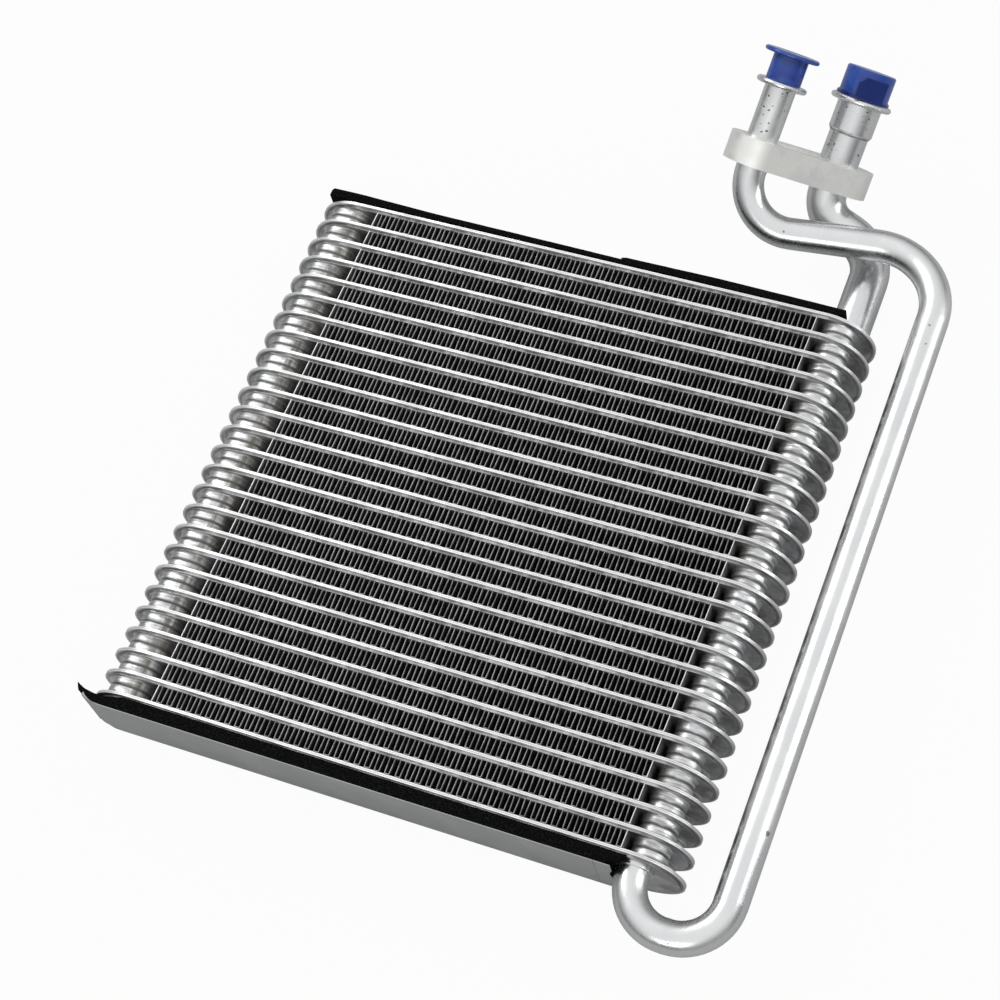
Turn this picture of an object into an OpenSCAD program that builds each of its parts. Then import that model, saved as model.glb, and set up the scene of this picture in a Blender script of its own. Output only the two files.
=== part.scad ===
// Evaporator core of a car air conditioner: a brazed stack of flat tubes and
// corrugated fins, two refrigerant pipes in a joint block, and foam seal strips.
// The core lies on its back face. X runs along the tubes, Y up the stack,
// and Z from the back face to the front face. All lengths are millimetres.

/* [Core stack] */
// Number of flat tubes in the stack, with one fin row between each two
tube_count = 26; // [6:2:26]
// Distance from one flat tube to the next
tube_pitch = 9.1; // [8:0.1:11]
// Length of a tube plate from tip to tip
plate_len = 237.5; // [200:0.5:280]
// Depth of the core along the air flow
plate_depth = 38; // [34:1:60]

/* [Flat tubes] */
// Thickness of a flat tube over its raised face
tube_thick = 2.4; // [1.8:0.1:3]
// Thickness of each drawn sheet
sheet_t = 0.55; // [0.4:0.05:0.8]
// Width of the brazed flange around a tube
flange_w = 1.9; // [1.2:0.1:3]
// Width of the rib that parts the front channel from the back channel
channel_rib_w = 2.2; // [1:0.1:4]

/* [Tank cups] */
// Outer radius of a drawn cup
cup_r = 7; // [5:0.1:8]
// Distance between the front row and the back row of cups
cup_row_gap = 17; // [16.5:0.1:24]
// Plate tip to the cup centre at the right end
cup_in_right = 14; // [10:0.5:20]
// Plate tip to the first cup centre line at the left end
cup_in_left = 13.5; // [10:0.5:20]
// Straight length of the long cups at the left end
cup_slot = 4; // [1:0.5:10]
// Radius of the fillet where a cup rises from its plate
cup_fillet = 0.7; // [0.4:0.1:0.9]
// Depth of the joint groove between two cups
joint_groove = 0.55; // [0.2:0.05:0.8]
// Radius of the passage through the brazed cup lips
lip_hole_r = 5; // [3:0.1:5.5]

/* [Fins] */
// Plate tip to the first fin leg at the left end
fin_margin_left = 28; // [25:0.5:40]
// Plate tip to the last fin leg at the right end
fin_margin_right = 22.5; // [22:0.5:40]
// Mean distance between two fin legs
fin_leg_gap = 2; // [1.4:0.1:4]
// Thickness of the fin strip
fin_t = 0.25; // [0.1:0.05:0.4]
// Setback of the fins from the front and back edges of the plates
fin_setback = 1.3; // [0.5:0.1:4]
// Sideways reach of a fin leg between its two bends
fin_slant = 0.2; // [0:0.05:0.8]
// Largest shift of a leg from its even place
fin_wander = 0.2; // [0:0.02:0.3]

/* [Top foam strips] */
// Thickness of the left strip
top_foam_t = 4; // [2:0.5:10]
// Extra thickness of the right strip
top_foam_step = 0.8; // [0.2:0.1:3]
// Depth of the top strips back from the front face
top_foam_depth = 17.5; // [8:0.5:17.5]
// Plate tip to the outer end of the left strip
top_foam_in_left = 5.5; // [0:0.5:20]
// Plate tip to the outer end of the right strip
top_foam_in_right = 12; // [0:0.5:20]
// Length of the left strip
top_foam_left_len = 126.5; // [60:0.5:160]
// Length over which the left strip thins out at its inner end
top_foam_taper = 12; // [4:1:30]
// Gap between the ends of the two strips
top_foam_gap = 0.8; // [0.3:0.1:5]

/* [Bottom foam strip] */
// Thickness of the bottom strip
bottom_foam_t = 5.4; // [3:0.2:10]
// Depth of the bottom strip back from the front face
bottom_foam_depth = 24; // [10:0.5:30]
// Reach of the strip's curled end past the left plate tip
bottom_foam_reach = 2.2; // [0:0.1:6]
// Length of the curled end
bottom_foam_curl = 20; // [10:0.5:30]
// Plate tip to the right end of the strip
bottom_foam_in_right = 19.5; // [18:0.5:60]
// Corner radius at the strip's back left end
bottom_foam_corner = 9; // [3:0.5:12]
// Right end of the strip to the right end of its film
film_in_right = 4.5; // [2:0.5:30]
// Thickness of the film on the outer face of the strip
film_t = 0.35; // [0.2:0.05:1]

/* [Liquid pipe] */
// Outer diameter of the liquid pipe
liquid_d = 12.7; // [10:0.1:13]
// Wall of both pipes
pipe_wall = 1.1; // [0.8:0.1:1.6]
// Plate tip to the root of the liquid pipe
liquid_root_in = 17.5; // [14:0.5:18]
// Depth of the lower bend under the bottom plate
liquid_drop = 20.65; // [19.5:0.1:40]
// Bend radius of the lower bend
liquid_low_r = 17.4; // [16:0.1:18]
// Gap between the plate tips and the long leg
liquid_leg_gap = 12.35; // [11.5:0.1:20]
// Height of the upper corner over the top plate
liquid_top_up = 42.55; // [40:0.5:80]
// Lift of the upper corner over the front row of cups
liquid_top_lift = 1.5; // [0:0.5:5]
// Bend radius of the upper corner
liquid_top_r = 27; // [22:0.5:30]
// Way back from the upper corner to the corner under the block
liquid_run = 88.5; // [85:0.1:100]
// Fall of that run towards the core
liquid_run_fall = 10; // [5:0.5:15]
// Bend radius of the corner under the block
liquid_stub_r = 19; // [15:0.5:20]
// Way from that corner to the middle of the block
liquid_to_block = 31; // [27:0.5:40]

/* [Suction pipe] */
// Outer diameter of the suction pipe
suction_d = 16; // [12:0.1:16]
// Height of its first bend over the top plate
suction_up = 47.5; // [40:0.5:60]
// Bend radius of the first bend
suction_low_r = 18; // [14:0.5:19]
// Bend radius of the second bend
suction_top_r = 12.5; // [10:0.5:13]
// Way from the second bend to the middle of the block
suction_to_block = 16.2; // [16:0.1:18]

/* [Joint block] */
// Rise of the pipe ends out of the core's plane, in degrees
end_rise = 36; // [30:1:42]
// Lean of the pipe ends to the right, in degrees
end_lean = 10; // [5:0.5:15]
// Turn of the block about the pipe ends, in degrees
block_turn = 46; // [42:1:50]
// Distance between the two pipes in the block
block_span = 36; // [34:0.5:44]
// Thickness of the block along the pipes
block_t = 11; // [8:0.5:16]
// Radius of the block around the liquid pipe
block_liquid_r = 12.5; // [10:0.5:14]
// Radius of the block around the suction pipe
block_suction_r = 14.8; // [12:0.2:17]
// Diameter of the bolt hole
bolt_hole_d = 6.6; // [5:0.1:7]
// Liquid pipe to the bolt hole
bolt_hole_in = 16.5; // [14:0.5:20]
// Depth of the recess in the top of the block
recess_depth = 1.6; // [0.5:0.1:3]
// Width of the recess in the top of the block
recess_w = 13; // [8:0.5:18]

/* [Pipe ends] */
// Block face to the bead on the liquid pipe
liquid_bead_up = 21; // [16:0.1:30]
// Outer diameter of the bead on the liquid pipe
liquid_bead_d = 20.6; // [17:0.2:24]
// Block face to the bead on the suction pipe
suction_bead_up = 24; // [18:0.1:30]
// Outer diameter of the bead on the suction pipe
suction_bead_d = 25; // [22:0.2:28]
// Thickness of both beads
bead_t = 2.4; // [1.5:0.1:4]
// Outer diameter of the widened end of the suction pipe
suction_bell_d = 18; // [17:0.1:19]
// Length of the widened end below the bead
suction_bell_len = 11; // [6:0.5:14]
// Way over which a pipe widens or narrows
neck_len = 1.6; // [1:0.1:3]
// Pipe end past the bead
stub_len = 10; // [6:0.5:12]
// Reach of the collar at each pipe root past the pipe
collar_over = 0.8; // [0.4:0.1:1.5]
// Thickness of the collar at each pipe root
collar_t = 1.6; // [1:0.1:3]

/* [Shipping caps] */
// Wall of the liquid cap
liquid_cap_wall = 0.75; // [0.6:0.05:1.6]
// Wall of the suction cap
suction_cap_wall = 1.05; // [0.8:0.05:1.6]
// Thickness of the closed ends
cap_top_t = 1.8; // [1:0.1:3]
// Diameter of the disc on the liquid cap
liquid_disc_d = 22.4; // [18:0.2:26]
// Reach of the suction cap's lower rim past its body
suction_rim_over = 0.8; // [0.4:0.1:1.5]
// Height of the suction cap's lower rim
suction_rim_h = 1.8; // [1:0.1:3]
// Width of the pull tab
tab_w = 13; // [8:0.5:16]
// Height of the pull tab
tab_h = 9; // [5:0.5:9.5]
// Thickness of the pull tab
tab_t = 1.1; // [0.8:0.1:2]
// Reach of the pull tab past the middle of the cap
tab_past = 3.2; // [2:0.1:5]

/* [Hidden] */
$fn = 64;
// Clearance of brazed and pressed fits around the pipes
fit_gap = 0.05;
// Overrun of cuts past the faces they open
overrun = 1;
// Draw of the pipe wall in a bend, so that a bend laps inside its straight legs
bend_draw = 0.05;
bend_lap = 0.5;
// Distance of foam from pipes
foam_gap = 0.4;
// Bluntness of the foam's cut edges
foam_edge = 0.7;
// Foot of the straight sides of the block inside its round ends
side_inset = 0.02;

half_len = plate_len / 2;
half_pitch = tube_pitch / 2;
half_thick = tube_thick / 2;
end_r = plate_depth / 2;
stack_half = (tube_count - 1) * tube_pitch / 2;
top_face = stack_half + half_thick;
row_off = cup_row_gap / 2;
front_row = end_r + row_off;
back_row = end_r - row_off;
cup_right = half_len - cup_in_right;
cup_left = -half_len + cup_in_left;

// Unit directions of the pipe ends and of the block
end_dir = [sin(end_lean) * cos(end_rise), cos(end_lean) * cos(end_rise), sin(end_rise)];
side_dir = [cos(end_lean), -sin(end_lean), 0];
block_dir = cos(block_turn) * side_dir - sin(block_turn) * cross(side_dir, end_dir);

liquid_r = liquid_d / 2;
suction_r = suction_d / 2;
liquid_root_x = half_len - liquid_root_in;
leg_x = half_len + liquid_leg_gap + liquid_r;
liquid_corner = [leg_x - liquid_run, top_face + liquid_top_up - liquid_run_fall, front_row + 2 * liquid_top_lift];
block_at_liquid = liquid_corner + liquid_to_block * end_dir;
block_at_suction = block_at_liquid + block_span * block_dir;

// The widened end of the suction pipe, and the caps that fit over both ends
bell_r = suction_bell_d / 2;
liquid_cap_r = liquid_r + fit_gap + liquid_cap_wall;
suction_cap_r = bell_r + fit_gap + suction_cap_wall;

// Reach of each pipe past the middle of the block
half_block = block_t / 2;
liquid_bead_at = half_block + liquid_bead_up;
suction_bead_at = half_block + suction_bead_up;
liquid_reach = liquid_bead_at + bead_t + stub_len;
suction_reach = suction_bead_at + bead_t + stub_len;

// Centre lines of the pipes, from the root in the plate to the middle of the block
liquid_route = [
    [liquid_root_x, -top_face + sheet_t, front_row],
    [liquid_root_x, -top_face - liquid_drop, front_row],
    [leg_x, -top_face - liquid_drop, front_row],
    [leg_x, top_face + liquid_top_up, front_row + liquid_top_lift],
    liquid_corner,
    block_at_liquid
];
liquid_radii = [liquid_low_r, liquid_low_r, liquid_top_r, liquid_stub_r];
suction_route = [
    [cup_right, top_face - sheet_t, back_row],
    [cup_right, top_face + suction_up, back_row],
    block_at_suction - suction_to_block * end_dir,
    block_at_suction
];
suction_radii = [suction_low_r, suction_top_r];

// The origin lies under the middle of the whole part's bounding box
tilt_reach = sqrt(1 - end_dir.y * end_dir.y);
liquid_cap_end = block_at_liquid + (liquid_reach + cap_top_t) * end_dir;
suction_cap_end = block_at_suction + (suction_reach + cap_top_t) * end_dir;
left_most = -half_len - bottom_foam_reach;
right_most = leg_x + liquid_r;
low_most = -top_face - liquid_drop - liquid_r;
top_most = max(
    liquid_cap_end.y + liquid_disc_d / 2 * tilt_reach,
    suction_cap_end.y + suction_cap_r * tilt_reach
);
box_mid = [(left_most + right_most) / 2, (low_most + top_most) / 2, 0];

function two_digits(i) = str(i < 10 ? "0" : "", i);
function tube_name(i) = str("tube_", two_digits(i));
function fin_name(i) = str("fin_", two_digits(i));

function unit(v) = v / norm(v);
function tube_y(i) = (i - 1) * tube_pitch - stack_half;

// Moves the core's own frame, centred in the stack, to the part's origin
module in_place() {
    translate(-box_mid) children();
}

// Puts a shape drawn in XY with its thickness along Z into the plane of the tubes at height y
module lay_flat(y) {
    translate([0, y, end_r]) rotate([-90, 0, 0]) children();
}

// Puts a shape at a point, with its Z along one direction and its X near another
module aim(at, z_dir, x_dir) {
    y = unit(cross(z_dir, x_dir));
    x = cross(y, z_dir);
    multmatrix([
        [x.x, y.x, z_dir.x, at.x],
        [x.y, y.y, z_dir.y, at.y],
        [x.z, y.z, z_dir.z, at.z],
        [0, 0, 0, 1]
    ]) children();
}

// Flat shape with two round ends, len long and 2 * r deep
module stadium(len, r) {
    if (len > 2 * r) {
        for (s = [-1, 1])
            translate([s * (len / 2 - r), 0]) circle(r);
        square([len - 2 * r, 2 * r], center = true);
    } else
        circle(r);
}

module stadium_plate(len, r, t) {
    linear_extrude(t, center = true) stadium(len, r);
}

// Half section of a pair of cups, from the joint below the plate to the joint above it
function cup_side() = let (
    top = half_pitch,
    f = cup_fillet,
    arc_steps = [0 : 1 / 3 : 1]
) concat(
    [for (s = arc_steps) [cup_r + f - f * sin(90 * s), half_thick + f - f * cos(90 * s)]],
    [
        [cup_r, top - 2 * joint_groove],
        [cup_r - joint_groove / 4, top - joint_groove],
        [cup_r - joint_groove, top]
    ]
);
function flip(points) = [for (i = [len(points) - 1 : -1 : 0]) [points[i].x, -points[i].y]];
function mirror_side(points) = [for (i = [len(points) - 1 : -1 : 0]) [-points[i].x, points[i].y]];
function cup_outline(up, down) = concat(
    down ? flip(cup_side()) : [[cup_r, 0]],
    up ? cup_side() : [[cup_r, 0]]
);
function cup_low(down) = down ? -half_pitch : 0;
function cup_high(up) = up ? half_pitch : 0;

module round_cup(up, down) {
    side = cup_outline(up, down);
    rotate_extrude() polygon(concat([[0, cup_low(down)]], side, [[0, cup_high(up)]]));
}

module long_cup(up, down) {
    side = cup_outline(up, down);
    for (s = [-1, 1])
        translate([s * cup_slot / 2, 0, 0]) rotate([0, 0, -s * 90])
            rotate_extrude(angle = 180)
                polygon(concat([[0, cup_low(down)]], side, [[0, cup_high(up)]]));
    rotate([90, 0, 90]) linear_extrude(cup_slot, center = true)
        polygon(concat(side, mirror_side(side)));
}

// Passage inside the cups: wide in the drawn part, narrow through the lips
module cup_passage(slot, up, down) {
    inner_r = cup_r - sheet_t;
    low = down ? -half_pitch + sheet_t : -half_thick + sheet_t;
    high = up ? half_pitch - sheet_t : half_thick - sheet_t;
    translate([0, 0, low]) linear_extrude(high - low) stadium(slot + 2 * inner_r, inner_r);
    if (up)
        linear_extrude(half_pitch + overrun) stadium(slot + 2 * lip_hole_r, lip_hole_r);
    if (down)
        translate([0, 0, -half_pitch - overrun]) linear_extrude(half_pitch + overrun)
            stadium(slot + 2 * lip_hole_r, lip_hole_r);
}

// One flat tube: two drawn plates brazed at their flange, with cups at both ends
module tube(i) {
    up = i < tube_count;
    down = i > 1;
    body_r = end_r - flange_w;
    body_len = plate_len - 2 * flange_w;
    channel_len = body_len - 2 * sheet_t;
    channel_r = body_r - sheet_t;
    slot_mid = cup_left + cup_slot / 2;
    color("lightgray") in_place() lay_flat(tube_y(i)) difference() {
        union() {
            stadium_plate(plate_len, end_r, 2 * sheet_t);
            stadium_plate(body_len, body_r, tube_thick);
            for (s = [-1, 1]) {
                translate([cup_right, s * row_off, 0]) round_cup(up, down);
                translate([slot_mid, s * row_off, 0]) long_cup(up, down);
            }
        }
        difference() {
            stadium_plate(channel_len, channel_r, tube_thick - 2 * sheet_t);
            cube([plate_len, channel_rib_w, tube_thick], center = true);
        }
        for (s = [-1, 1]) {
            translate([cup_right, s * row_off, 0]) cup_passage(0, up, down);
            translate([slot_mid, s * row_off, 0]) cup_passage(cup_slot, up, down);
        }
        if (!down)
            translate([liquid_root_x, -row_off, -tube_thick])
                cylinder(r = liquid_r + fit_gap, h = tube_thick);
        if (!up)
            translate([cup_right, row_off, 0]) cylinder(r = suction_r + fit_gap, h = tube_thick);
    }
}

// Fin strip folded to a wave: legs stand between the tubes in turn leaning right and left,
// and wander a little from their even places, as rolled fins do
fin_high = tube_pitch - tube_thick;
fin_left = -half_len + fin_margin_left;
fin_right = half_len - fin_margin_right;
fin_legs = 2 * floor((fin_right - fin_left) / fin_leg_gap / 2) + 1;
fin_step = (fin_right - fin_left - fin_slant - fin_t) / (fin_legs - 1);
function wander(row, leg) = leg == 0 || leg == fin_legs - 1 ? 0
    : fin_wander * sin(97 * leg + 151 * row) * sin(41 * leg + 67 * row);
function leg_mid(row, leg) = fin_left + (fin_slant + fin_t) / 2 + leg * fin_step + wander(row, leg);
// One side of the strip: a foot and a head for each leg, in the order of the wave
function fin_side(row, upper) = [
    for (leg = [0 : fin_legs - 1]) let (
        rises = leg % 2 == 0,
        lean = (rises ? 1 : -1) * fin_slant / 2,
        half = (rises == upper ? -1 : 1) * fin_t / 2,
        end_leg = leg == 0 || leg == fin_legs - 1,
        foot = [leg_mid(row, leg) - lean + half, upper && leg > 0 ? fin_t : 0],
        head = [leg_mid(row, leg) + lean + half, upper || end_leg && leg > 0 ? fin_high : fin_high - fin_t]
    )
    each rises ? [foot, head] : [head, foot]
];
function backwards(points) = [for (i = [len(points) - 1 : -1 : 0]) points[i]];

module fin(i) {
    color("dimgray") in_place() translate([0, tube_y(i) + half_thick, fin_setback])
        linear_extrude(plate_depth - 2 * fin_setback)
            polygon(concat(fin_side(i, true), backwards(fin_side(i, false))));
}

// A foam strip: its side profile in XY, carried over its depth back from the front face
module strip(depth) {
    translate([0, 0, plate_depth - depth]) linear_extrude(depth) children();
}

top_left_from = -half_len + top_foam_in_left;
top_left_to = top_left_from + top_foam_left_len;
module top_foam_left() {
    thin_end = top_foam_t / 2;
    color("black") in_place() translate([0, top_face, 0]) strip(top_foam_depth) polygon([
        [top_left_from, 0],
        [top_left_to, 0],
        [top_left_to, thin_end],
        [top_left_to - top_foam_taper, top_foam_t],
        [top_left_from + foam_edge, top_foam_t],
        [top_left_from, top_foam_t - 2 * foam_edge]
    ]);
}

module top_foam_right() {
    from = top_left_to + top_foam_gap;
    to = half_len - top_foam_in_right;
    t = top_foam_t + top_foam_step;
    color("black") in_place() translate([0, top_face, 0]) strip(top_foam_depth) polygon([
        [from, 0],
        [to, 0],
        [to, t - foam_edge / 2],
        [to - foam_edge / 2, t],
        [from + 3 * foam_edge, t],
        [from + foam_edge, t - foam_edge],
        [from, t - 3 * foam_edge]
    ]);
}

bottom_from = -half_len - bottom_foam_reach;
bottom_to = half_len - bottom_foam_in_right;
// Curled end of the bottom strip, as shares of its length and of the strip's thickness,
// from the hollow above it to the tip, and from the tip to the flat underneath
hollow_shares = [[1, 0], [0.86, -0.14], [0.66, -0.3], [0.42, -0.33], [0.2, -0.2], [0.08, -0.02]];
under_shares = [[0, 0.14], [0.02, -0.16], [0.07, -0.42], [0.15, -0.68], [0.26, -0.87], [0.4, -1]];
// Round right end of the bottom strip, as shares of its thickness
round_end_shares = [[-1 / 2, -1], [-1 / 6, -5 / 6], [0, -1 / 2], [0, 0]];

function curl_points(shares) = [
    for (q = shares) [bottom_from + q.x * bottom_foam_curl, q.y * bottom_foam_t]
];

// Outline of the bottom strip seen from below, with its round back corner, from x = from to x = to
module bottom_plan(from, to) {
    back = plate_depth - bottom_foam_depth;
    r = bottom_foam_corner;
    translate([from + r, back + r]) circle(r);
    translate([from + r, back]) square([to - from - r, bottom_foam_depth]);
    translate([from, back + r]) square([to - from, bottom_foam_depth - r]);
}

// Room around the liquid pipe and its collar
module root_room() {
    r = liquid_r + collar_over + foam_gap;
    translate([liquid_root_x, -top_face + overrun, front_row]) rotate([90, 0, 0])
        cylinder(r = r, h = bottom_foam_t + film_t + 2 * overrun);
}

// Carries a side profile over the depth of the bottom strip, within its outline
module bottom_strip(to) {
    t = bottom_foam_t;
    difference() {
        intersection() {
            translate([0, -top_face, 0]) strip(bottom_foam_depth) children();
            translate([0, -top_face + t, 0]) rotate([90, 0, 0]) linear_extrude(3 * t)
                bottom_plan(bottom_from, to);
        }
        root_room();
    }
}

module bottom_foam() {
    color("black") in_place() bottom_strip(bottom_to) polygon(concat(
        curl_points(hollow_shares),
        curl_points(under_shares),
        [for (q = round_end_shares) [bottom_to + q.x * bottom_foam_t, q.y * bottom_foam_t]]
    ));
}

// The film follows the curled end from just below its tip
module bottom_foam_film() {
    to = bottom_to - film_in_right;
    film_end = [to, -bottom_foam_t];
    glued = concat(curl_points(under_shares), [film_end]);
    last = len(glued) - 1;
    outer = [
        for (k = [1 : last]) let (
            along = unit(glued[min(k + 1, last)] - glued[k - 1])
        ) glued[k] + film_t * [along.y, -along.x]
    ];
    color("gray") in_place() bottom_strip(to)
        polygon(concat([for (k = [1 : last]) glued[k]], backwards(outer)));
}

// Corners of a pipe route
function into(route, k) = unit(route[k] - route[k - 1]);
function turn_of(route, k) = acos(into(route, k) * into(route, k + 1));
function tangent(route, radii, k) = radii[k - 1] * tan(turn_of(route, k) / 2);

module ring(r, wall) {
    difference() {
        circle(r);
        circle(r - wall);
    }
}

// Straight legs and round bends of a pipe, without its last straight leg.
// Each bend is drawn a trace thinner than the legs and laps a little way inside their walls.
module pipe_bends(route, radii, r) {
    corners = len(radii);
    for (k = [1 : corners]) {
        a = into(route, k);
        b = into(route, k + 1);
        inward = unit(b - (a * b) * a);
        turn = turn_of(route, k);
        start = route[k] - tangent(route, radii, k) * a;
        lap = bend_lap / radii[k - 1] * 180 / PI;
        aim(start + radii[k - 1] * inward, cross(a, inward), -inward)
            rotate([0, 0, -lap]) rotate_extrude(angle = turn + 2 * lap)
                translate([radii[k - 1], 0]) ring(r - bend_draw, pipe_wall - 2 * bend_draw);
        leg_from = k == 1 ? route[0] : route[k - 1] + tangent(route, radii, k - 1) * a;
        aim(leg_from, a, inward) linear_extrude(norm(start - leg_from)) ring(r, pipe_wall);
    }
}
function last_leg(route, radii) = norm(route[len(route) - 1] - route[len(route) - 2])
    - tangent(route, radii, len(radii));

// Rounded edge of a bead or disc, from its low face to its high face
function bulge(r, low, t) = [for (s = [-1 : 1 / 4 : 1]) [r - t / 2 + t / 2 * cos(90 * s), low + t / 2 + t / 2 * sin(90 * s)]];

// The last straight leg of a pipe with its widened end and its bead, as half a section
module pipe_end(tail, r, wide_r, neck_at, bead_r, bead_at, reach) {
    inner = r - pipe_wall;
    wide_inner = wide_r - pipe_wall;
    edge = pipe_wall / 3;
    rotate_extrude() polygon(concat(
        [
            [inner, -tail],
            [r, -tail],
            [r, neck_at - neck_len],
            [wide_r, neck_at],
            [wide_r, bead_at]
        ],
        bulge(bead_r, bead_at, bead_t),
        [
            [wide_r, bead_at + bead_t],
            [wide_r, reach - edge],
            [wide_r - edge, reach],
            [wide_inner, reach],
            [wide_inner, neck_at],
            [inner, neck_at - neck_len]
        ]
    ));
}

module collar(at, out, r) {
    aim(at, out, [1, 0, 0]) linear_extrude(collar_t) ring(r + collar_over, collar_over + pipe_wall / 2);
}

module liquid_pipe() {
    color("silver") in_place() {
        pipe_bends(liquid_route, liquid_radii, liquid_r);
        aim(block_at_liquid, end_dir, block_dir) pipe_end(
            last_leg(liquid_route, liquid_radii), liquid_r, liquid_r, liquid_bead_at - neck_len,
            liquid_bead_d / 2, liquid_bead_at, liquid_reach
        );
        collar([liquid_root_x, -top_face, front_row], [0, -1, 0], liquid_r);
    }
}

module suction_pipe() {
    color("silver") in_place() {
        pipe_bends(suction_route, suction_radii, suction_r);
        aim(block_at_suction, end_dir, block_dir) pipe_end(
            last_leg(suction_route, suction_radii), suction_r, bell_r, suction_bead_at - suction_bell_len,
            suction_bead_d / 2, suction_bead_at, suction_reach
        );
        collar([cup_right, top_face, back_row], [0, 1, 0], suction_r);
    }
}

// Body of the block: two round ends and the straight sides that touch both
module block_body() {
    r1 = block_liquid_r - side_inset;
    r2 = block_suction_r - side_inset;
    nx = (r1 - r2) / block_span;
    ny = sqrt(1 - nx * nx);
    cylinder(r = block_liquid_r, h = block_t, center = true);
    translate([block_span, 0, 0]) cylinder(r = block_suction_r, h = block_t, center = true);
    linear_extrude(block_t, center = true) polygon([
        [r1 * nx, r1 * ny],
        [block_span + r2 * nx, r2 * ny],
        [block_span + r2 * nx, -r2 * ny],
        [r1 * nx, -r1 * ny]
    ]);
}

module joint_block() {
    recess_from = liquid_r + pipe_wall;
    recess_to = block_span - suction_r - pipe_wall;
    color("gainsboro") in_place() aim(block_at_liquid, end_dir, block_dir) difference() {
        block_body();
        cylinder(r = liquid_r + fit_gap, h = block_t + overrun, center = true);
        translate([block_span, 0, 0]) cylinder(r = suction_r + fit_gap, h = block_t + overrun, center = true);
        translate([bolt_hole_in, 0, 0]) cylinder(d = bolt_hole_d, h = block_t + overrun, center = true);
        translate([(recess_from + recess_to) / 2, 0, half_block - recess_depth])
            linear_extrude(recess_depth + overrun)
                square([recess_to - recess_from, recess_w], center = true);
    }
}

module liquid_cap() {
    low = liquid_bead_at + bead_t;
    inner = liquid_r + fit_gap;
    color("royalblue") in_place() aim(block_at_liquid, end_dir, block_dir) rotate_extrude() polygon(concat(
        [
            [0, liquid_reach],
            [inner, liquid_reach],
            [inner, low],
            [liquid_cap_r, low],
            [liquid_cap_r, liquid_reach]
        ],
        bulge(liquid_disc_d / 2, liquid_reach, cap_top_t),
        [[0, liquid_reach + cap_top_t]]
    ));
}

module suction_cap() {
    low = suction_bead_at + bead_t;
    high = suction_reach + cap_top_t;
    inner = bell_r + fit_gap;
    rim = suction_cap_r + suction_rim_over;
    edge = suction_cap_wall / 2;
    color("royalblue") in_place() aim(block_at_suction, end_dir, block_dir) {
        rotate_extrude() polygon([
            [0, suction_reach],
            [inner, suction_reach],
            [inner, low],
            [rim, low],
            [rim, low + suction_rim_h - suction_rim_over],
            [suction_cap_r, low + suction_rim_h],
            [suction_cap_r, high - edge],
            [suction_cap_r - edge, high],
            [0, high]
        ]);
        // Flat pull tab that leaves the cap at a tangent
        translate([0, -suction_cap_r + edge, low]) rotate([90, 0, 0]) linear_extrude(tab_t)
            polygon([
                [tab_past, 0],
                [tab_past, tab_h],
                [tab_past - tab_w * 0.75, tab_h],
                [tab_past - tab_w, tab_h - tab_w * 0.2],
                [tab_past - tab_w, tab_t]
            ]);
    }
}

for (i = [1 : tube_count])
    tube(i);
for (i = [1 : tube_count - 1])
    fin(i);
top_foam_left();
top_foam_right();
bottom_foam();
bottom_foam_film();
liquid_pipe();
suction_pipe();
joint_block();
liquid_cap();
suction_cap();
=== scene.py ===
"""Dresses a car evaporator core: metal finishes, foam seal strips, film, caps and a plain studio."""
import math
import bmesh
import bpy
from bpy.props import FloatProperty, FloatVectorProperty, PointerProperty
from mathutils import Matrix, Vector


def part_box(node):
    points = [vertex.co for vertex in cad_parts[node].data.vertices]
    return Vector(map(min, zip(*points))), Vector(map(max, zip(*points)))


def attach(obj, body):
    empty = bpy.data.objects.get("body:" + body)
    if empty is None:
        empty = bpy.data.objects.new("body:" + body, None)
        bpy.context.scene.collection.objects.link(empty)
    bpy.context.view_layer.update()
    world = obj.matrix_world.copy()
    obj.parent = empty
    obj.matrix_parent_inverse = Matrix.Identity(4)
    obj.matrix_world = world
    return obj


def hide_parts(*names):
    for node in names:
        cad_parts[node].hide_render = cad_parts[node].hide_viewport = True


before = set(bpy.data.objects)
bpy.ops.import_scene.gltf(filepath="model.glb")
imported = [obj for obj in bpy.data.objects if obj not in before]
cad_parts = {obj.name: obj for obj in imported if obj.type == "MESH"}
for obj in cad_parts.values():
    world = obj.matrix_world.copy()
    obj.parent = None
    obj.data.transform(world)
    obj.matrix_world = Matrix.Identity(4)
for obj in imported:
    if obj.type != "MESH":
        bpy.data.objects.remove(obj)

bl_info = {
    "name": "Evaporator Core Dressing",
    "version": (1, 0, 0),
    "blender": (4, 5, 0),
    "location": "3D View > Sidebar > Evaporator",
    "description": "Finishes and soft pieces of a brazed evaporator core, with a plain studio",
    "category": "Object",
}

MM = 0.001
TUBES = sorted(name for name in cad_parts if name.startswith("tube_"))
FINS = sorted(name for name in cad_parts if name.startswith("fin_"))
LOW_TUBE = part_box(TUBES[0])
LOW_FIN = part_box(FINS[0])
PLATE_MID_X = (LOW_TUBE[0].x + LOW_TUBE[1].x) / 2
FRONT_Z = LOW_TUBE[1].z
BACK_Z = LOW_TUBE[0].z
FIN_FRONT_Z = LOW_FIN[1].z
FIN_BACK_Z = LOW_FIN[0].z
HALF_PLATE = (LOW_TUBE[1].x - LOW_TUBE[0].x) / 2
END_R = (FRONT_Z - BACK_Z) / 2
PITCH = (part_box(FINS[-1])[0].y - LOW_FIN[0].y) / (len(FINS) - 1)
FIN_HIGH = LOW_FIN[1].y - LOW_FIN[0].y
# Middle planes of the lowest tube and of the whole stack
FIRST_TUBE_Y = LOW_FIN[0].y - (PITCH - FIN_HIGH) / 2
STACK_MID_Y = FIRST_TUBE_Y + PITCH * (len(TUBES) - 1) / 2
# Underside of the lowest plate, on which the bottom strip is glued
UNDER_Y = LOW_FIN[0].y - (PITCH - FIN_HIGH)

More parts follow.
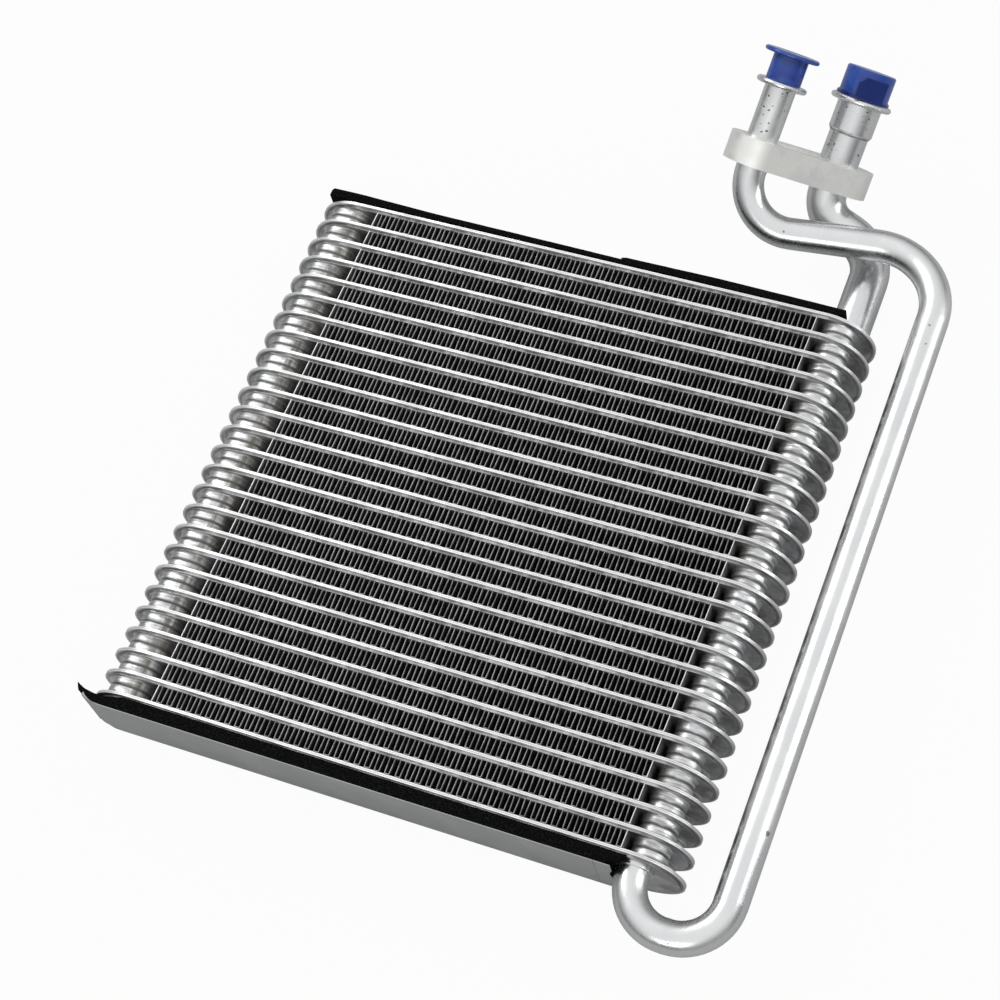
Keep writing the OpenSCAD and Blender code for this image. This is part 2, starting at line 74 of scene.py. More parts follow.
# Shape of the cut foam: its soft edges, the curled end of the bottom strip, the way in which its
# right end tapers, and its round back corner
FOAM_EDGE = 0.45 * MM
SHARP_ANGLE = math.radians(28)
SMOOTH_ANGLE = math.radians(35)
CURL_LEN = 20 * MM
END_TAPER = 3 * MM
FOAM_CORNER = 8.5 * MM
FILM_CORNER = 8.6 * MM
CORNER_SEGMENTS = 8
# Taper of the top left strip, and its lap under the right one
TOP_TAPER = 12 * MM
TOP_LAP = 1.3 * MM

# Direction of both pipe ends, and the middle of the block at the suction pipe
END_DIR = Vector((0.140484, 0.796726, 0.587785))
SUCTION_MIDDLE = Vector((PLATE_MID_X + 80.576 * MM, STACK_MID_Y + 182.846 * MM, BACK_Z + 27.771 * MM))


class EvaporatorSizes(bpy.types.PropertyGroup):
    """Sizes of the modelled pieces and of the patterns in the finishes."""
    foam_play: FloatProperty(
        name="Foam play", description="Distance by which a foam piece stays inside its CAD solid",
        default=0.12 * MM, unit="LENGTH", subtype="DISTANCE")
    foam_step: FloatProperty(
        name="Foam step", description="Distance between the cuts that let the foam surface roll",
        default=4 * MM, unit="LENGTH", subtype="DISTANCE")
    foam_roll: FloatProperty(
        name="Foam roll", description="Height of the slow unevenness of a cut foam face",
        default=0.16 * MM, unit="LENGTH", subtype="DISTANCE")
    foam_cell: FloatProperty(
        name="Foam cell", description="Size of one open cell of the foam",
        default=0.75 * MM, unit="LENGTH", subtype="DISTANCE")
    bell_from: FloatProperty(
        name="Bell from", description="Middle of the block to the foot of the suction pipe's widened end",
        default=17.4 * MM, unit="LENGTH", subtype="DISTANCE")
    film_cut: FloatProperty(
        name="Film cut", description="Right end of the film to the cut across it",
        default=6.4 * MM, unit="LENGTH", subtype="DISTANCE")
    cap_r: FloatProperty(
        name="Cap radius", description="Radius of the plain wall of the suction cap",
        default=10.1 * MM, unit="LENGTH", subtype="DISTANCE")
    root_in: FloatProperty(
        name="Pipe root in", description="Plate tip to the root of the liquid pipe",
        default=17.5 * MM, unit="LENGTH", subtype="DISTANCE")
    root_back: FloatProperty(
        name="Pipe root back", description="Front face to the root of the liquid pipe",
        default=10.5 * MM, unit="LENGTH", subtype="DISTANCE")
    root_room: FloatProperty(
        name="Room at the pipe root", description="Radius of the room cut around the root of the liquid pipe",
        default=7.67 * MM, unit="LENGTH", subtype="DISTANCE")
    film_bend: FloatProperty(
        name="Film edge", description="Rounding of the edge of the film",
        default=0.12 * MM, unit="LENGTH", subtype="DISTANCE")
    seam: FloatProperty(
        name="Seam", description="Width of the brazed seam around a flange",
        default=0.2 * MM, unit="LENGTH", subtype="DISTANCE")
    # Width of the outer plate rim that is painted paler, as a painted highlight
    highlight_rim_width: FloatProperty(
        name="Bright rim", description="Width of the bright outer rim of a plate",
        default=0.7 * MM, unit="LENGTH", subtype="DISTANCE")
    stain_from: FloatProperty(
        name="Stain from", description="Distance from the middle of the core at which the flux stain starts to fade",
        default=99 * MM, unit="LENGTH", subtype="DISTANCE")
    fin_edge: FloatProperty(
        name="Fin edge", description="Depth of the bare bright edge of a fin leg",
        default=0.7 * MM, unit="LENGTH", subtype="DISTANCE")
    floor_side: FloatProperty(
        name="Floor side", description="Side of the studio floor",
        default=8.0, unit="LENGTH", subtype="DISTANCE")
    low_light: FloatProperty(
        name="Low light", description="Strength of the soft light near the floor", default=0.16, min=0)
    high_light: FloatProperty(
        name="High light", description="Strength of the soft light overhead", default=1.0, min=0)
    lens: FloatProperty(
        name="Lens", description="Focal length of the camera in millimetres", default=86.4)


class EvaporatorColours(bpy.types.PropertyGroup):
    """Base colours of the finishes, as linear values."""
    tube: FloatVectorProperty(
        name="Tube plates", description="Brazed aluminium of the tube plates",
        subtype="COLOR", size=4, default=(0.72, 0.73, 0.745, 1))
    tube_stain: FloatVectorProperty(
        name="Tube stain", description="Duller flux film on the plates",
        subtype="COLOR", size=4, default=(0.3, 0.295, 0.28, 1))
    # The seam colour also paints shade into the groove where two cups meet
    seam: FloatVectorProperty(
        name="Seam", description="Brazed seam between two sheets",
        subtype="COLOR", size=4, default=(0.16, 0.16, 0.165, 1))
    # Paler colour of the plate rims and of the fins' end legs: a painted highlight
    rim: FloatVectorProperty(
        name="Rim", description="Bright outer rim of a plate",
        subtype="COLOR", size=4, default=(0.8, 0.8, 0.8, 1))
    flux: FloatVectorProperty(
        name="Flux", description="Brown flux residue on the cups",
        subtype="COLOR", size=4, default=(0.1, 0.085, 0.06, 1))
    # Near-black fin colour deeper in the core: painted shade between the legs
    fin: FloatVectorProperty(
        name="Fin", description="Coated fin strip deep in the core",
        subtype="COLOR", size=4, default=(0.03, 0.03, 0.031, 1))
    fin_edge: FloatVectorProperty(
        name="Fin edge", description="Bright edge of a fin leg",
        subtype="COLOR", size=4, default=(0.38, 0.385, 0.38, 1))
    pipe: FloatVectorProperty(
        name="Pipe", description="Drawn aluminium of the pipes",
        subtype="COLOR", size=4, default=(0.7, 0.71, 0.72, 1))
    pipe_pit: FloatVectorProperty(
        name="Pipe pit", description="Small dark pits and scuffs in a pipe",
        subtype="COLOR", size=4, default=(0.1, 0.095, 0.085, 1))
    block: FloatVectorProperty(
        name="Block", description="Extruded aluminium of the joint block",
        subtype="COLOR", size=4, default=(0.86, 0.865, 0.83, 1))
    block_worn: FloatVectorProperty(
        name="Block, worn", description="Brighter rubbed patches of the block",
        subtype="COLOR", size=4, default=(0.95, 0.97, 0.97, 1))
    cap: FloatVectorProperty(
        name="Cap", description="Blue plastic of the shipping caps",
        subtype="COLOR", size=4, default=(0.014, 0.046, 0.29, 1))
    cap_thin: FloatVectorProperty(
        name="Cap, thin", description="Paler blue where light comes through the cap",
        subtype="COLOR", size=4, default=(0.05, 0.12, 0.45, 1))
    cap_thick: FloatVectorProperty(
        name="Cap, thick", description="Darker blue of the cap's rim and tab",
        subtype="COLOR", size=4, default=(0.003, 0.014, 0.13, 1))
    foam: FloatVectorProperty(
        name="Foam", description="Black foam of the seal strips",
        subtype="COLOR", size=4, default=(0.0012, 0.0012, 0.0013, 1))
    foam_wall: FloatVectorProperty(
        name="Foam cell wall", description="Cell walls that catch the light",
        subtype="COLOR", size=4, default=(0.011, 0.011, 0.0115, 1))
    film: FloatVectorProperty(
        name="Film", description="Grey film on the bottom strip",
        subtype="COLOR", size=4, default=(0.29, 0.305, 0.3, 1))
    film_rub: FloatVectorProperty(
        name="Film, rubbed", description="Paler rubbed places of the film",
        subtype="COLOR", size=4, default=(0.36, 0.375, 0.37, 1))
    floor: FloatVectorProperty(
        name="Floor", description="Pale studio floor",
        subtype="COLOR", size=4, default=(0.42, 0.42, 0.42, 1))


# ---------------------------------------------------------------- node wiring

class Wiring:
    """Adds and joins the nodes of one material, world or group."""

    def __init__(self, tree):
        self.tree = tree
        tree.nodes.clear()

    def add(self, kind, settings=None, inputs=None):
        """Adds a node; each input is a plain value or the socket that feeds it."""
        made = self.tree.nodes.new(kind)
        made.location = (220 * (len(self.tree.nodes) % 9), -190 * (len(self.tree.nodes) // 9))
        for key, value in (settings or {}).items():
            setattr(made, key, value)
        for key, value in (inputs or {}).items():
            if isinstance(value, bpy.types.NodeSocket):
                self.tree.links.new(value, made.inputs[key])
            else:
                made.inputs[key].default_value = value
        return made

    def math(self, operation, first, second=0.0, third=0.0):
        made = self.add("ShaderNodeMath", {"operation": operation}, {0: first, 1: second, 2: third})
        return made.outputs[0]

    def ramp(self, value, from_low, from_high, to_low=0.0, to_high=1.0):
        """Smooth step of a value between two bounds."""
        made = self.add("ShaderNodeMapRange", {"interpolation_type": "SMOOTHSTEP"}, {
            "Value": value, "From Min": from_low, "From Max": from_high,
            "To Min": to_low, "To Max": to_high})
        return made.outputs["Result"]

    def blend(self, factor, first, second):
        made = self.add("ShaderNodeMix", {"data_type": "RGBA"}, {0: factor, 6: first, 7: second})
        return made.outputs[2]

    def place(self):
        """Object coordinates, as one vector and as its three parts."""
        spot = self.add("ShaderNodeTexCoord").outputs["Object"]
        parts = self.add("ShaderNodeSeparateXYZ", None, {0: spot}).outputs
        return spot, parts[0], parts[1], parts[2]

    def group(self, name, **inputs):
        """Places a shared effect with its own values."""
        made = self.add("ShaderNodeGroup", {"node_tree": bpy.data.node_groups[name]})
        for key, value in inputs.items():
            socket = made.inputs[key.replace("_", " ")]
            if isinstance(value, bpy.types.NodeSocket):
                self.tree.links.new(value, socket)
            else:
                socket.default_value = value
        return made.outputs


def new_group(name, inputs, outputs):
    """An empty node group with named sockets, and its wiring."""
    tree = bpy.data.node_groups.new(name, "ShaderNodeTree")
    for title, kind, value in inputs:
        socket = tree.interface.new_socket(name=title, in_out="INPUT", socket_type=kind)
        socket.default_value = value
    for title, kind in outputs:
        tree.interface.new_socket(name=title, in_out="OUTPUT", socket_type=kind)
    wiring = Wiring(tree)
    entry = wiring.add("NodeGroupInput").outputs
    leave = wiring.add("NodeGroupOutput").inputs
    return wiring, entry, leave


def build_shared_effects():
    """Builds the four effects that several finishes share."""
    number, colour = "NodeSocketFloat", "NodeSocketColor"

    # Slow cloudy change of a value, such as flux haze or handling marks
    w, entry, leave = new_group("Haze", [("Scale", number, 60.0), ("From", number, 0.4), ("To", number, 0.6)],
                                [("Mask", number)])
    spot = w.place()[0]
    cloud = w.add("ShaderNodeTexNoise", None, {"Vector": spot, "Scale": entry["Scale"], "Detail": 4.0,
                                               "Roughness": 0.55})
    w.tree.links.new(w.ramp(cloud.outputs["Fac"], entry["From"], entry["To"]), leave["Mask"])

    # Fine parallel lines left by drawing or rolling, stretched by the three scales
    w, entry, leave = new_group("Draw Lines", [("Across X", number, 900.0), ("Across Y", number, 900.0),
                                               ("Across Z", number, 900.0)], [("Height", number)])
    spot = w.place()[0]
    stretch = w.add("ShaderNodeCombineXYZ", None, {0: entry["Across X"], 1: entry["Across Y"],
                                                   2: entry["Across Z"]}).outputs[0]
    scaled = w.add("ShaderNodeVectorMath", {"operation": "MULTIPLY"}, {0: spot, 1: stretch}).outputs[0]
    line = w.add("ShaderNodeTexNoise", None, {"Vector": scaled, "Scale": 1.0, "Detail": 3.0, "Roughness": 0.6})
    w.tree.links.new(line.outputs["Fac"], leave["Height"])

    # Sparse small spots: pits, nicks and specks
    w, entry, leave = new_group("Specks", [("Scale", number, 150.0), ("Size", number, 0.1),
                                           ("Share", number, 0.5)], [("Mask", number)])
    spot = w.place()[0]
    warp = w.add("ShaderNodeTexNoise", None, {"Vector": spot, "Scale": 700.0, "Detail": 2.0})
    nudge = w.add("ShaderNodeVectorMath", {"operation": "MULTIPLY"}, {
        0: warp.outputs["Color"], 1: (0.0016, 0.0016, 0.0016)}).outputs[0]
    bent = w.add("ShaderNodeVectorMath", {"operation": "ADD"}, {0: spot, 1: nudge}).outputs[0]
    cell = w.add("ShaderNodeTexVoronoi", None, {"Vector": bent, "Scale": entry["Scale"]})
    near = w.ramp(cell.outputs["Distance"], w.math("MULTIPLY", entry["Size"], 0.55), entry["Size"], 1.0, 0.0)
    chance = w.add("ShaderNodeSeparateColor", None, {0: cell.outputs["Color"]}).outputs[0]
    chosen = w.math("LESS_THAN", chance, entry["Share"])
    w.tree.links.new(w.math("MULTIPLY", near, chosen), leave["Mask"])

    # Open cells of cut foam: a height and the mask of the cell walls
    w, entry, leave = new_group("Foam Cells", [("Scale", number, 1300.0)], [("Height", number), ("Walls", number)])
    spot = w.place()[0]
    cell = w.add("ShaderNodeTexVoronoi", None, {"Vector": spot, "Scale": entry["Scale"]})
    fine = w.add("ShaderNodeTexNoise", None, {"Vector": spot, "Scale": w.math("MULTIPLY", entry["Scale"], 2.3),
                                              "Detail": 2.0})
    height = w.math("ADD", cell.outputs["Distance"], w.math("MULTIPLY", fine.outputs["Fac"], 0.5))
    w.tree.links.new(height, leave["Height"])
    w.tree.links.new(w.ramp(height, 0.62, 1.05), leave["Walls"])


def new_finish(name):
    """An empty material and its wiring."""
    finish = bpy.data.materials.new(name)
    finish.use_nodes = True
    return finish, Wiring(finish.node_tree)


def close_finish(w, **sockets):
    """Adds the shader with its own values and the material output."""
    shader = w.add("ShaderNodeBsdfPrincipled")
    for key, value in sockets.items():
        socket = shader.inputs[key.replace("_", " ")]
        if isinstance(value, bpy.types.NodeSocket):
            w.tree.links.new(value, socket)
        else:
            socket.default_value = value
    w.add("ShaderNodeOutputMaterial", None, {"Surface": shader.outputs[0]})


def raised(w, height, depth, strength=1.0, over=None):
    """Bump of a height pattern, depth metres deep."""
    inputs = {"Height": height, "Distance": depth, "Strength": strength}
    if over:
        inputs["Normal"] = over
    return w.add("ShaderNodeBump", None, inputs).outputs[0]


def assign(finish, *nodes):
    """Gives a finish to the material slots of CAD nodes."""
    for name in nodes:
        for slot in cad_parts[name].material_slots:
            slot.material = finish


# ---------------------------------------------------------------- mesh helpers

def settle():
    """Leaves edit mode and deselects everything."""
    if bpy.context.object and bpy.context.object.mode != "OBJECT":
        bpy.ops.object.mode_set(mode="OBJECT")
    bpy.ops.object.select_all(action="DESELECT")


def only(piece):
    settle()
    piece.select_set(True)
    bpy.context.view_layer.objects.active = piece


def new_bar(name, low, high):
    """A box from its low to its high corner, with its place in its mesh."""
    settle()
    low, high = Vector(low), Vector(high)
    bpy.ops.mesh.primitive_cube_add(size=1, location=(low + high) / 2, scale=high - low)
    bar = bpy.context.object
    bar.name = bar.data.name = name
    bpy.ops.object.transform_apply(location=True, rotation=True, scale=True)
    return bar


def select_where(piece, kind, test):
    """In edit mode, selects the vertices, edges or faces whose middle passes the test."""
    mesh = bmesh.from_edit_mesh(piece.data)
    for item in [*mesh.verts, *mesh.edges, *mesh.faces]:
        item.select = False
    bpy.context.tool_settings.mesh_select_mode = (kind == "verts", kind == "edges", kind == "faces")
    for item in getattr(mesh, kind):
        if kind == "verts":
            chosen = test(item.co)
        elif kind == "edges":
            chosen = test((item.verts[0].co + item.verts[1].co) / 2,
                          (item.verts[1].co - item.verts[0].co).normalized())
        else:
            chosen = test(item.calc_center_median(), item.normal)
        if chosen:
            item.select_set(True)
    bmesh.update_edit_mesh(piece.data)


def slice_at(piece, axis, places):
    """Cuts new edge rings square to an axis."""
    only(piece)
    bpy.ops.object.mode_set(mode="EDIT")
    for place in places:
        bpy.ops.mesh.select_all(action="SELECT")
        point, normal = [0.0, 0.0, 0.0], [0.0, 0.0, 0.0]
        point[axis], normal[axis] = place, 1.0
        bpy.ops.mesh.bisect(plane_co=point, plane_no=normal)
    bpy.ops.object.mode_set(mode="OBJECT")


def spread(start, end, step):
    """Even places between two ends, without the ends."""
    count = max(2, round(abs(end - start) / step))
    return [start + (end - start) * k / count for k in range(1, count)]


def move_where(piece, test, shift):
    """Moves the vertices that pass the test."""
    only(piece)
    bpy.ops.object.mode_set(mode="EDIT")
    select_where(piece, "verts", test)
    bpy.ops.transform.translate(value=shift)
    bpy.ops.object.mode_set(mode="OBJECT")


def bevel_where(piece, test, width, segments):
    """Rounds the edges that pass the test."""
    only(piece)
    bpy.ops.object.mode_set(mode="EDIT")
    select_where(piece, "edges", test)
    bpy.ops.mesh.bevel(offset=width, offset_type="OFFSET", segments=segments, affect="EDGES")
    bpy.ops.object.mode_set(mode="OBJECT")


def add_modifier(piece, kind, **settings):
    """Adds a modifier and applies it."""
    only(piece)
    made = piece.modifiers.new(kind.title(), kind)
    for key, value in settings.items():
        setattr(made, key, value)
    bpy.ops.object.modifier_apply(modifier=made.name)


def follow(piece, stations, low_line, high_line, low_y, high_y):
    """Bends the low and the high faces of a sliced bar to two lines given over x."""
    middle = (low_y + high_y) / 2
    for x in stations:
        for below, line, flat in ((True, low_line, low_y), (False, high_line, high_y)):
            shift = line(x) - flat
            if abs(shift) > 1e-7:
                move_where(piece, lambda co: abs(co.x - x) < 1e-6 and (co.y < middle) == below, (0, shift, 0))


def line_through(points):
    """A function that runs straight between given points, and level past them."""
    def height(x):
        if x <= points[0][0]:
            return points[0][1]
        for (x0, y0), (x1, y1) in zip(points, points[1:]):
            if x <= x1:
                return y0 + (y1 - y0) * (x - x0) / (x1 - x0)
        return points[-1][1]
    return height


def root_middle(sizes):
    """Middle of the liquid pipe's root, under the bottom plate."""
    return Vector((LOW_TUBE[1].x - sizes.root_in, LOW_TUBE[0].y - 3 * MM, FRONT_Z - sizes.root_back))


def cut_root_room(piece, sizes):
    """Cuts the round room for the root of the liquid pipe out of a strip under the bottom plate."""
    settle()
    bpy.ops.mesh.primitive_cylinder_add(vertices=64, radius=sizes.root_room, depth=30 * MM,
                                        location=root_middle(sizes), rotation=(math.pi / 2, 0, 0))
    core = bpy.context.object
    bpy.ops.object.transform_apply(location=True, rotation=True, scale=True)
    add_modifier(piece, "BOOLEAN", object=core, operation="DIFFERENCE", solver="EXACT")
    only(core)
    bpy.ops.object.delete()


def finish_foam(piece, node, finish, sizes, room=False):
    """Gives a cut strip a slow roll and softer edges, and puts it in its CAD node's place."""
    clouds = bpy.data.textures.new(piece.name + "_roll", "CLOUDS")
    clouds.noise_scale = 7 * MM
    add_modifier(piece, "DISPLACE", texture=clouds, texture_coords="LOCAL", strength=sizes.foam_roll,
                 mid_level=0.75)
    if room:
        cut_root_room(piece, sizes)
    # All sharp edges are softened but those of the room
    root, reach = root_middle(sizes), sizes.root_room + 0.25 * MM
    only(piece)
    bpy.ops.object.mode_set(mode="EDIT")
    mesh = bmesh.from_edit_mesh(piece.data)
    for edge in mesh.edges:
        here = (edge.verts[0].co + edge.verts[1].co) / 2
        at_room = room and math.hypot(here.x - root.x, here.z - root.z) < reach
        edge.select_set(edge.calc_face_angle(0.0) > SHARP_ANGLE and not at_room)
    bmesh.update_edit_mesh(piece.data)
    bpy.ops.mesh.bevel(offset=FOAM_EDGE, offset_type="OFFSET", segments=2, affect="EDGES", clamp_overlap=True)
    bpy.ops.object.mode_set(mode="OBJECT")
    bpy.ops.object.shade_smooth_by_angle(angle=SMOOTH_ANGLE)
    piece.data.materials.append(finish)
    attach(piece, "root")
    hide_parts(node)


# ---------------------------------------------------------------- finishes of the CAD nodes

class EVAPORATOR_OT_tubes(bpy.types.Operator):
    """Give the tube plates their brazed aluminium, with seams, flux haze, draw lines, a painted highlight on the rims
    and painted shade where the cups meet
    """
    bl_idname = "evaporator.tubes"
    bl_label = "Finish Tube Plates"

    def execute(self, context):
        sizes, colours = context.scene.evaporator_sizes, context.scene.evaporator_colours
        finish, w = new_finish("Brazed Aluminium")
        x, y, z = w.place()[1:]
        level = w.math("WRAP", w.math("SUBTRACT", y, FIRST_TUBE_Y), PITCH / 2, -PITCH / 2)
        off = w.math("ABSOLUTE", level)
        # Distance from the middle line of a plate, round its ends too
        across = w.math("ABSOLUTE", w.math("SUBTRACT", x, PLATE_MID_X))
        past = w.math("MAXIMUM", w.math("SUBTRACT", across, HALF_PLATE - END_R), 0.0)
        aside = w.math("SUBTRACT", z, (FRONT_Z + BACK_Z) / 2)
        out = w.math("SQRT", w.math("ADD", w.math("MULTIPLY", past, past), w.math("MULTIPLY", aside, aside)))
        # The outer rim of each plate is painted paler and less metallic: a painted highlight
        rim = w.ramp(out, END_R - sizes.highlight_rim_width * 1.6, END_R - sizes.highlight_rim_width * 0.6)
        seam = w.ramp(off, sizes.seam * 0.25, sizes.seam * 0.6, 1.0, 0.0)
        # Painted shade: the groove where two cups meet is darkened towards the seam colour
        joint = w.ramp(off, PITCH / 2 - 0.75 * MM, PITCH / 2 - 0.25 * MM)
        # Brown flux on the sides of the cups that look at the fins
        inward = w.ramp(across, sizes.stain_from, sizes.stain_from + 7 * MM, 1.0, 0.0)
        cup = w.ramp(off, 1.25 * MM, 1.7 * MM)
        runs = w.group("Draw Lines", Across_X=520.0, Across_Y=60.0, Across_Z=520.0)["Height"]
        flux = w.math("MULTIPLY", w.math("MULTIPLY", inward, cup), w.ramp(runs, 0.3, 0.62, 0.25, 1.0))
        haze = w.group("Haze", Scale=85.0, From=0.42, To=0.68)["Mask"]
        fine = w.group("Haze", Scale=420.0, From=0.35, To=0.7)["Mask"]
        lines = w.group("Draw Lines", Across_X=130.0, Across_Y=2600.0, Across_Z=130.0)["Height"]
        bands = w.group("Draw Lines", Across_X=90.0, Across_Y=1150.0, Across_Z=90.0)["Height"]
        specks = w.group("Specks", Scale=170.0, Size=0.09, Share=0.3)["Mask"]
        dull = w.math("MULTIPLY", haze, w.math("ADD", w.math("MULTIPLY", fine, 0.4), 0.2))
        dull = w.math("MAXIMUM", dull, w.math("MULTIPLY", w.ramp(bands, 0.4, 0.64), 0.8))
        colour = w.blend(dull, colours.tube, colours.tube_stain)
        colour = w.blend(w.math("MULTIPLY", flux, 0.85), colour, colours.flux)
        colour = w.blend(w.math("MULTIPLY", rim, 0.75), colour, colours.rim)
        dark = w.math("MAXIMUM", w.math("MULTIPLY", seam, 0.7), w.math("MULTIPLY", joint, 0.75))
        dark = w.math("MAXIMUM", dark, w.math("MULTIPLY", specks, 0.35))
        flange = w.math("MULTIPLY", w.ramp(out, END_R - 2.2 * MM, END_R - 1.7 * MM), w.ramp(past, 0.0, 2 * MM))
        flange = w.math("MULTIPLY", flange, w.math("SUBTRACT", 1.0, rim))
        dark = w.math("MAXIMUM", dark, w.math("MULTIPLY", flange, 0.5))
        colour = w.blend(dark, colour, colours.seam)
        rough = w.ramp(w.math("ADD", w.math("MULTIPLY", haze, 0.4), w.math("MULTIPLY", bands, 0.6)),
                       0.1, 0.9, 0.3, 0.6)
        # Flux is less metallic, and so is the painted rim highlight, so that it stays bright
        flux_and_rim_highlight = w.math("MAXIMUM", w.math("MULTIPLY", rim, 0.45), w.math("MULTIPLY", flux, 0.5))
        metal = w.math("SUBTRACT", 1.0, flux_and_rim_highlight)
        relief = raised(w, lines, 0.035 * MM, 0.7)
        relief = raised(w, bands, 0.06 * MM, 0.6, relief)
        relief = raised(w, fine, 0.05 * MM, 0.5, relief)
        close_finish(w, Base_Color=colour, Metallic=metal, Roughness=rough, Normal=relief)
        assign(finish, *TUBES)
        return {"FINISHED"}


class EVAPORATOR_OT_fins(bpy.types.Operator):
    """Give the fins painted shade, near black deeper in the core, with bright leg edges at both faces of the core"""
    bl_idname = "evaporator.fins"
    bl_label = "Finish Fins"

    def execute(self, context):
        sizes, colours = context.scene.evaporator_sizes, context.scene.evaporator_colours
        finish, w = new_finish("Coated Fin Strip")
        _, x, _, z = w.place()
        # The legs are bright at both faces of the core and painted near black deeper in, as painted shade between the
        # legs
        depth = w.math("MINIMUM", w.math("SUBTRACT", FIN_FRONT_Z, z), w.math("SUBTRACT", z, FIN_BACK_Z))
        ragged = w.group("Draw Lines", Across_X=1300.0, Across_Y=260.0, Across_Z=300.0)["Height"]
        reach = w.math("ADD", depth, w.math("MULTIPLY", w.math("SUBTRACT", ragged, 0.5), 1.6 * MM))
        edge = w.ramp(reach, sizes.fin_edge * 0.4, sizes.fin_edge * 1.8, 1.0, 0.0)
        # Painted highlight: the outermost leg at each end stays bright further into the core
        end_gap = w.math("MINIMUM", w.math("SUBTRACT", x, LOW_FIN[0].x), w.math("SUBTRACT", LOW_FIN[1].x, x))
        end_leg_highlight = w.ramp(end_gap, 0.3 * MM, 1.1 * MM, 1.0, 0.0)
        haze = w.group("Haze", Scale=230.0, From=0.36, To=0.64)["Mask"]
        bright = w.math("MAXIMUM", edge, w.math("MULTIPLY", end_leg_highlight, w.ramp(depth, 3 * MM, 12 * MM, 1.0, 0.1)))
        bright = w.math("MULTIPLY", bright, w.math("ADD", w.math("MULTIPLY", haze, 0.7), 0.35))
        colour = w.blend(bright, colours.fin, colours.fin_edge)
        colour = w.blend(w.math("MULTIPLY", end_leg_highlight, edge), colour, colours.rim)
        metal = w.math("MULTIPLY", bright, 0.8)
        louvres = w.group("Draw Lines", Across_X=60.0, Across_Y=60.0, Across_Z=1000.0)["Height"]
        relief = raised(w, louvres, 0.08 * MM, 0.5)
        rough = w.ramp(haze, 0.0, 1.0, 0.4, 0.62)
        close_finish(w, Base_Color=colour, Metallic=metal, Roughness=rough, Normal=relief)
        assign(finish, *FINS)
        return {"FINISHED"}


class EVAPORATOR_OT_pipes(bpy.types.Operator):
    """Give both pipes their drawn aluminium with streaks, scuffs and small pits"""
    bl_idname = "evaporator.pipes"
    bl_label = "Finish Pipes"

    def execute(self, context):
        sizes, colours = context.scene.evaporator_sizes, context.scene.evaporator_colours
        finish, w = new_finish("Drawn Aluminium")
        haze = w.group("Haze", Scale=38.0, From=0.4, To=0.72)["Mask"]
        fine = w.group("Haze", Scale=620.0, From=0.35, To=0.7)["Mask"]
        lines = w.group("Draw Lines", Across_X=900.0, Across_Y=34.0, Across_Z=900.0)["Height"]
        pits = w.group("Specks", Scale=118.0, Size=0.075, Share=0.34)["Mask"]
        scuffs = w.group("Specks", Scale=46.0, Size=0.06, Share=0.3)["Mask"]
        # Denser pits and two dark rings on the straight ends above the block
        spot = w.place()[0]
        from_middle = w.add("ShaderNodeVectorMath", {"operation": "SUBTRACT"}, {
            0: spot, 1: tuple(SUCTION_MIDDLE)}).outputs[0]
        rise = w.add("ShaderNodeVectorMath", {"operation": "DOT_PRODUCT"}, {
            0: from_middle, 1: tuple(END_DIR)}).outputs["Value"]
        far = w.add("ShaderNodeVectorMath", {"operation": "LENGTH"}, {0: from_middle}).outputs["Value"]
        stub = w.ramp(rise, 5 * MM, 8 * MM)
        dense = w.group("Specks", Scale=400.0, Size=0.26, Share=0.75)["Mask"]
        grouped = w.group("Haze", Scale=170.0, From=0.47, To=0.53)["Mask"]
        dense = w.math("MULTIPLY", w.math("MULTIPLY", dense, grouped), stub)
        ring = w.math("ABSOLUTE", w.math("SUBTRACT", rise, sizes.bell_from))
        ring = w.math("MULTIPLY", w.ramp(ring, 0.15 * MM, 0.5 * MM, 1.0, 0.0), w.ramp(far, 24 * MM, 26 * MM, 1.0, 0.0))
        marks = w.math("MAXIMUM", w.math("MULTIPLY", pits, 0.8), w.math("MULTIPLY", scuffs, 0.85))
        marks = w.math("MAXIMUM", marks, w.math("MAXIMUM", dense, w.math("MULTIPLY", ring, 0.7)))
        tone = w.math("MULTIPLY", haze, w.math("ADD", w.math("MULTIPLY", lines, 0.4), 0.05))
        colour = w.blend(tone, colours.pipe, colours.block)
        colour = w.blend(w.math("MULTIPLY", marks, 0.9), colour, colours.pipe_pit)
        rough = w.ramp(w.math("ADD", w.math("MULTIPLY", haze, 0.4), w.math("MULTIPLY", lines, 0.6)),
                       0.15, 0.85, 0.22, 0.4)
        relief = raised(w, lines, 0.004 * MM, 0.4)
        relief = raised(w, fine, 0.003 * MM, 0.3, relief)
        relief = raised(w, w.math("SUBTRACT", 1.0, marks), 0.12 * MM, 0.6, relief)
        close_finish(w, Base_Color=colour, Metallic=1.0, Roughness=rough, Normal=relief)
        assign(finish, "liquid_pipe", "suction_pipe")
        return {"FINISHED"}


